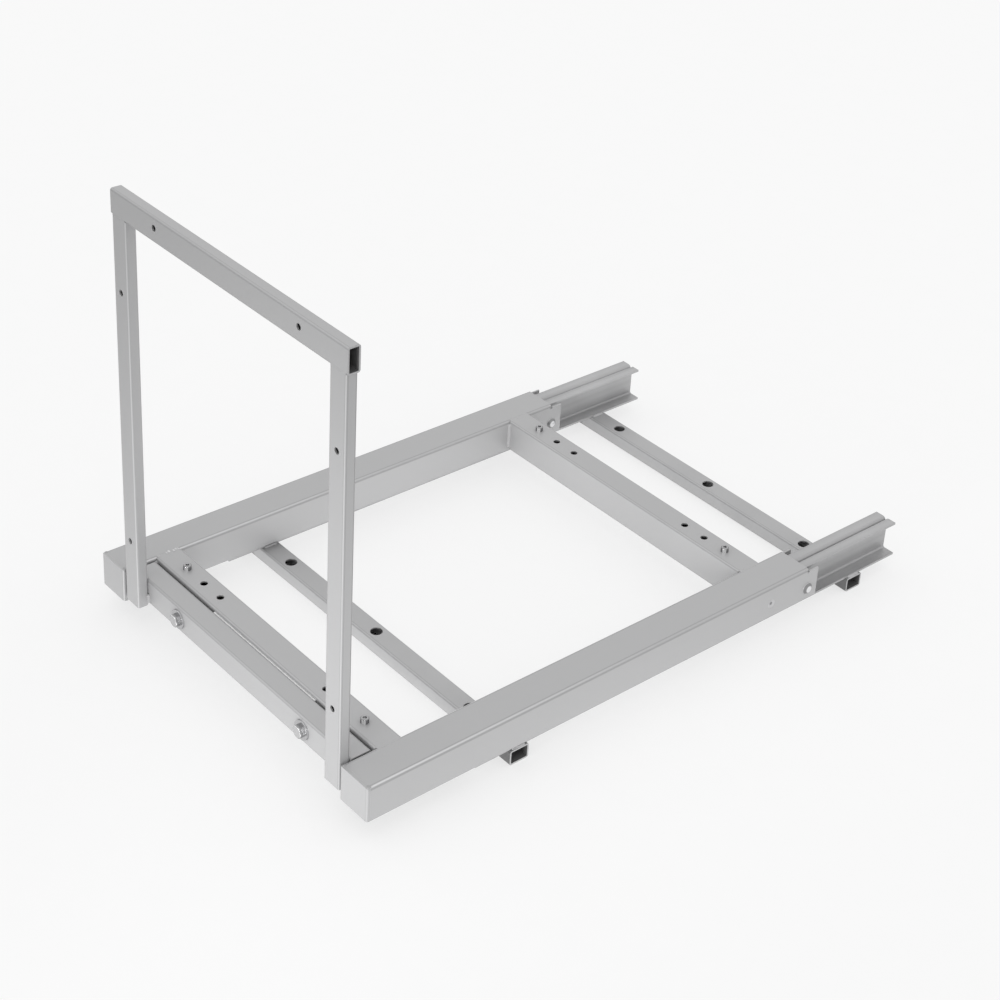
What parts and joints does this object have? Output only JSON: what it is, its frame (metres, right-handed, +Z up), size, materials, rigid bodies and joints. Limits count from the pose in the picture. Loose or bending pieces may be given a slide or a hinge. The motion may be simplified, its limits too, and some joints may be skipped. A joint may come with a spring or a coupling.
{
  "type": "pull-out basket frame",
  "caption": "Pull-out cupboard frame for a grain basket: a channel carriage rolls on fixed I-section rails and carries crossbars for the basket and an upright frame for the door.",
  "frame": {"origin": "on the floor, at the centre of the four outer floor screws of the base", "axes": "+X to the right, +Y to the rear of the cupboard, +Z up; the carriage pulls out along -Y"},
  "size_m": [0.3894, 0.608, 0.4085],
  "materials": {
    "frame_paint": "satin silver-grey coat",
    "rail_steel": "satin silver-grey coat",
    "axle_steel": "zinc plated",
    "fastener_zinc": "bright zinc plated",
    "roller_nylon": "natural nylon",
    "stop_rubber": "black rubber"
  },
  "bodies": {
    "base": {"front_base_tube": "frame_paint", "rear_base_tube": "frame_paint", "left_rail_outer": "rail_steel", "left_rail_inner": "rail_steel", "right_rail_inner": "rail_steel", "right_rail_outer": "rail_steel", "left_front_axle": "axle_steel", "right_front_axle": "axle_steel", "left_stop_pin": "axle_steel", "right_stop_pin": "axle_steel", "left_stop_sleeves": "stop_rubber", "right_stop_sleeves": "stop_rubber"},
    "carriage": {"left_channel": "frame_paint", "right_channel": "frame_paint", "left_end_plate": "frame_paint", "right_end_plate": "frame_paint", "front_crossbar": "frame_paint", "rear_crossbar": "frame_paint", "front_tube": "frame_paint", "left_post": "frame_paint", "right_post": "frame_paint", "top_rail": "frame_paint", "left_buffer": "stop_rubber", "right_buffer": "stop_rubber", "left_load_axles": "axle_steel", "left_lift_axles": "axle_steel", "right_load_axles": "axle_steel", "right_lift_axles": "axle_steel", "spacer_bar": "fastener_zinc", "crossbar_screws": "fastener_zinc", "clamp_bolts": "fastener_zinc", "clamp_washers": "fastener_zinc", "clamp_nuts": "fastener_zinc"},
    "left_front_roller_outer": {"left_front_roller_outer": "roller_nylon"},
    "left_front_roller_inner": {"left_front_roller_inner": "roller_nylon"},
    "left_load_roller_outer": {"left_load_roller_outer": "roller_nylon"},
    "left_load_roller_inner": {"left_load_roller_inner": "roller_nylon"},
    "left_lift_roller_outer": {"left_lift_roller_outer": "roller_nylon"},
    "left_lift_roller_inner": {"left_lift_roller_inner": "roller_nylon"},
    "right_front_roller_outer": {"right_front_roller_outer": "roller_nylon"},
    "right_front_roller_inner": {"right_front_roller_inner": "roller_nylon"},
    "right_load_roller_outer": {"right_load_roller_outer": "roller_nylon"},
    "right_load_roller_inner": {"right_load_roller_inner": "roller_nylon"},
    "right_lift_roller_outer": {"right_lift_roller_outer": "roller_nylon"},
    "right_lift_roller_inner": {"right_lift_roller_inner": "roller_nylon"}
  },
  "joints": [
    {"name": "carriage_slide", "type": "slide", "parent": "base", "child": "carriage", "axis": [0, -1, 0], "range_m": [-0.1005, 0.2678]},
    {"name": "left_front_roller_outer_turn", "type": "hinge", "parent": "base", "child": "left_front_roller_outer", "pos_m": [-0.18065, -0.228, 0.0347], "axis": [1, 0, 0], "range_deg": [-413, 1097]},
    {"name": "left_front_roller_inner_turn", "type": "hinge", "parent": "base", "child": "left_front_roller_inner", "pos_m": [-0.16735, -0.228, 0.0347], "axis": [1, 0, 0], "range_deg": [-413, 1097]},
    {"name": "left_load_roller_outer_turn", "type": "hinge", "parent": "carriage", "child": "left_load_roller_outer", "pos_m": [-0.18185, 0.1325, 0.0293], "axis": [1, 0, 0], "range_deg": [-444, 1182]},
    {"name": "left_load_roller_inner_turn", "type": "hinge", "parent": "carriage", "child": "left_load_roller_inner", "pos_m": [-0.16615, 0.1325, 0.0293], "axis": [1, 0, 0], "range_deg": [-444, 1182]},
    {"name": "left_lift_roller_outer_turn", "type": "hinge", "parent": "carriage", "child": "left_lift_roller_outer", "pos_m": [-0.18185, 0.086, 0.0322], "axis": [1, 0, 0], "range_deg": [-1182, 444]},
    {"name": "left_lift_roller_inner_turn", "type": "hinge", "parent": "carriage", "child": "left_lift_roller_inner", "pos_m": [-0.16615, 0.086, 0.0322], "axis": [1, 0, 0], "range_deg": [-1182, 444]},
    {"name": "right_front_roller_outer_turn", "type": "hinge", "parent": "base", "child": "right_front_roller_outer", "pos_m": [0.18065, -0.228, 0.0347], "axis": [1, 0, 0], "range_deg": [-413, 1097]},
    {"name": "right_front_roller_inner_turn", "type": "hinge", "parent": "base", "child": "right_front_roller_inner", "pos_m": [0.16735, -0.228, 0.0347], "axis": [1, 0, 0], "range_deg": [-413, 1097]},
    {"name": "right_load_roller_outer_turn", "type": "hinge", "parent": "carriage", "child": "right_load_roller_outer", "pos_m": [0.18185, 0.1325, 0.0293], "axis": [1, 0, 0], "range_deg": [-444, 1182]},
    {"name": "right_load_roller_inner_turn", "type": "hinge", "parent": "carriage", "child": "right_load_roller_inner", "pos_m": [0.16615, 0.1325, 0.0293], "axis": [1, 0, 0], "range_deg": [-444, 1182]},
    {"name": "right_lift_roller_outer_turn", "type": "hinge", "parent": "carriage", "child": "right_lift_roller_outer", "pos_m": [0.18185, 0.086, 0.0322], "axis": [1, 0, 0], "range_deg": [-1182, 444]},
    {"name": "right_lift_roller_inner_turn", "type": "hinge", "parent": "carriage", "child": "right_lift_roller_inner", "pos_m": [0.16615, 0.086, 0.0322], "axis": [1, 0, 0], "range_deg": [-1182, 444]}
  ],
  "couplings": [
    {"joint": "left_front_roller_outer_turn", "follows": "carriage_slide", "rad_per_m": 71.429},
    {"joint": "left_front_roller_inner_turn", "follows": "carriage_slide", "rad_per_m": 71.429},
    {"joint": "left_load_roller_outer_turn", "follows": "carriage_slide", "rad_per_m": 76.923},
    {"joint": "left_load_roller_inner_turn", "follows": "carriage_slide", "rad_per_m": 76.923},
    {"joint": "left_lift_roller_outer_turn", "follows": "carriage_slide", "rad_per_m": -76.923},
    {"joint": "left_lift_roller_inner_turn", "follows": "carriage_slide", "rad_per_m": -76.923},
    {"joint": "right_front_roller_outer_turn", "follows": "carriage_slide", "rad_per_m": 71.429},
    {"joint": "right_front_roller_inner_turn", "follows": "carriage_slide", "rad_per_m": 71.429},
    {"joint": "right_load_roller_outer_turn", "follows": "carriage_slide", "rad_per_m": 76.923},
    {"joint": "right_load_roller_inner_turn", "follows": "carriage_slide", "rad_per_m": 76.923},
    {"joint": "right_lift_roller_outer_turn", "follows": "carriage_slide", "rad_per_m": -76.923},
    {"joint": "right_lift_roller_inner_turn", "follows": "carriage_slide", "rad_per_m": -76.923}
  ]
}
